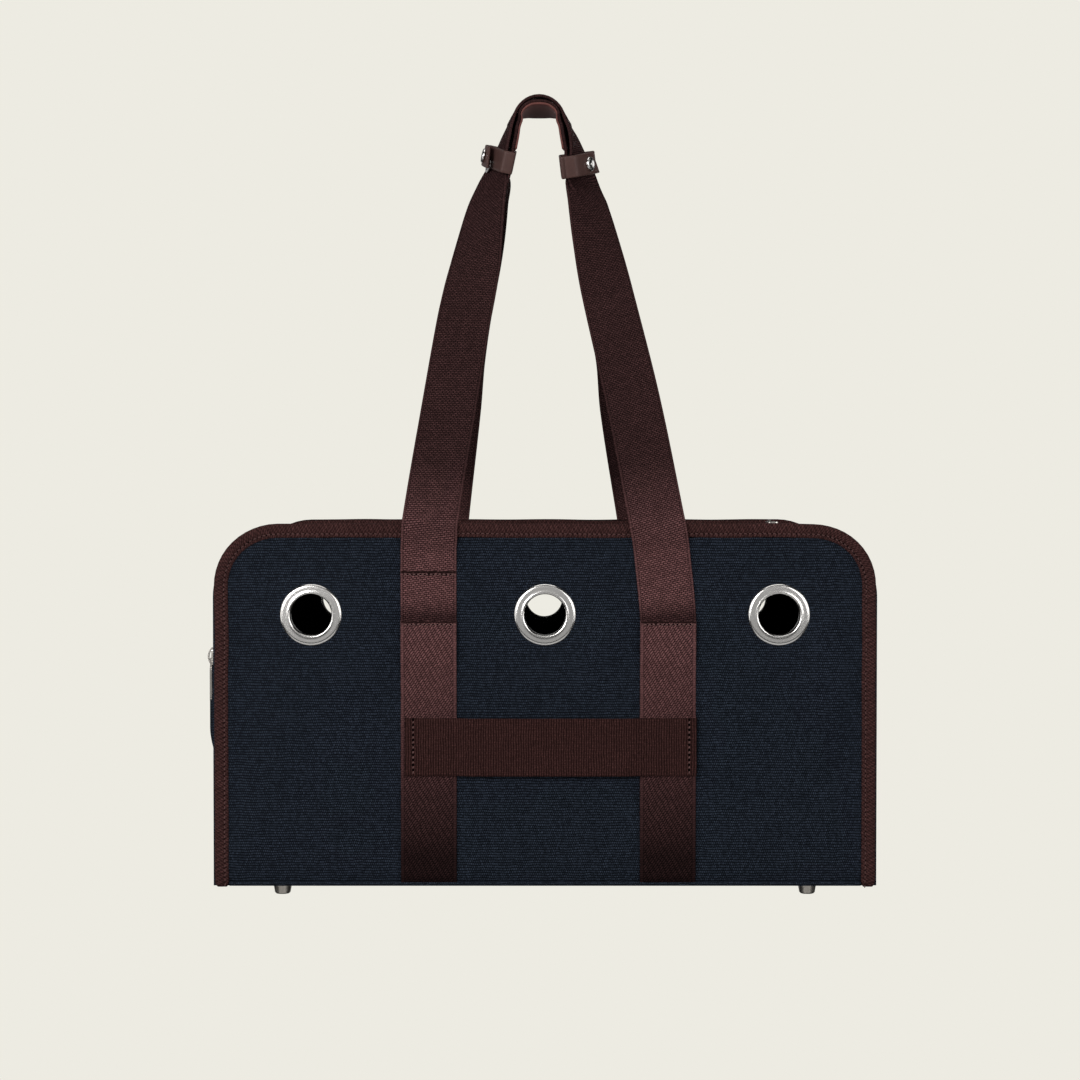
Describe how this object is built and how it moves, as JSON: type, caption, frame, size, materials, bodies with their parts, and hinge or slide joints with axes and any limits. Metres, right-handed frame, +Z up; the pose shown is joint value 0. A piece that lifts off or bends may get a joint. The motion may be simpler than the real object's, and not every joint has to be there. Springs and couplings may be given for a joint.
{
  "type": "pet carrier bag",
  "caption": "Soft-sided pet carrier bag with a zipped end door, a zipped top lid, metal air eyelets, webbing handles and metal feet.",
  "frame": {"origin": "on the floor under the middle of the bag", "axes": "+Z up, +X towards the right end, -Y out of the front wall that carries the cross band"},
  "size_m": [0.474, 0.2428, 0.5645],
  "materials": {
    "canvas": "ribbed navy cotton canvas",
    "lining": "black woven lining",
    "binding": "brown woven binding tape",
    "webbing": "brown twill webbing",
    "leather": "smooth brown leather",
    "nickel": "polished nickel",
    "plain_metal": "satin steel",
    "foot_metal": "brushed nickel",
    "zip_tape": "brown woven zip tape",
    "zip_coil": "dark nylon coil",
    "board": "black stiffening board",
    "mat": "quilted navy padding"
  },
  "bodies": {
    "shell": {"front_panel": "canvas", "rear_panel": "canvas", "left_end_frame": "canvas", "right_end_gusset": "canvas", "top_frame": "canvas", "base_panel": "canvas", "front_piping": "canvas", "rear_piping": "canvas", "front_lining": "lining", "rear_lining": "lining", "front_binding": "binding", "rear_binding": "binding", "front_left_strap": "webbing", "front_right_strap": "webbing", "rear_left_strap": "webbing", "rear_right_strap": "webbing", "front_handle": "webbing", "rear_handle": "webbing", "cross_band": "webbing", "handle_lining": "leather", "left_keeper_band": "leather", "right_keeper_band": "leather", "front_eyelets": "nickel", "rear_eyelets": "nickel", "front_eyelet_washers": "plain_metal", "rear_eyelet_washers": "plain_metal", "foot_rivets": "plain_metal", "left_snap_stud": "plain_metal", "right_snap_stud": "plain_metal", "feet": "foot_metal", "end_zip_frame_tape": "zip_tape", "lid_zip_frame_tape": "zip_tape", "end_zip_frame_coil": "zip_coil", "lid_zip_frame_coil": "zip_coil", "base_board": "board", "floor_mat": "mat"},
    "end_door": {"end_door": "canvas", "end_zip_door_tape": "zip_tape", "end_zip_door_coil": "zip_coil"},
    "end_slider": {"end_zip_slider": "nickel"},
    "end_puller": {"end_zip_puller": "nickel"},
    "top_lid": {"top_lid": "canvas", "lid_zip_lid_tape": "zip_tape", "lid_zip_lid_coil": "zip_coil"},
    "lid_slider": {"lid_zip_slider": "nickel"},
    "lid_puller": {"lid_zip_puller": "nickel"},
    "left_flap": {"left_keeper_flap": "leather", "left_snap_cap": "nickel", "left_snap_socket": "plain_metal"},
    "right_flap": {"right_keeper_flap": "leather", "right_snap_cap": "nickel", "right_snap_socket": "plain_metal"}
  },
  "joints": [
    {"name": "end_door_hinge", "type": "hinge", "parent": "shell", "child": "end_door", "pos_m": [-0.2245, 0, 0.019], "axis": [0, -1, 0], "range_deg": [0, 90]},
    {"name": "end_slider_slide", "type": "slide", "parent": "end_door", "child": "end_slider", "axis": [0, 0, -1], "range_m": [-0.006, 0.13]},
    {"name": "end_puller_swing", "type": "hinge", "parent": "end_slider", "child": "end_puller", "pos_m": [-0.2301, -0.094, 0.1635], "axis": [-0.1045, 0.9945, 0], "range_deg": [0, 120]},
    {"name": "lid_hinge", "type": "hinge", "parent": "shell", "child": "top_lid", "pos_m": [0, 0.095, 0.2495], "axis": [-1, 0, 0], "range_deg": [0, 65]},
    {"name": "lid_slider_slide", "type": "slide", "parent": "top_lid", "child": "lid_slider", "axis": [0, -1, 0], "range_m": [0, 0.13]},
    {"name": "lid_puller_swing", "type": "hinge", "parent": "lid_slider", "child": "lid_puller", "pos_m": [0.172, 0.0765, 0.2551], "axis": [-1, 0, 0], "range_deg": [0, 120]},
    {"name": "left_flap_hinge", "type": "hinge", "parent": "shell", "child": "left_flap", "pos_m": [-0.04638, 0.01923, 0.51752], "axis": [-0.2164, 0, -0.9763], "range_deg": [0, 100]},
    {"name": "right_flap_hinge", "type": "hinge", "parent": "shell", "child": "right_flap", "pos_m": [0.02366, -0.02224, 0.51479], "axis": [0.1219, 0, -0.9925], "range_deg": [0, 100]}
  ]
}
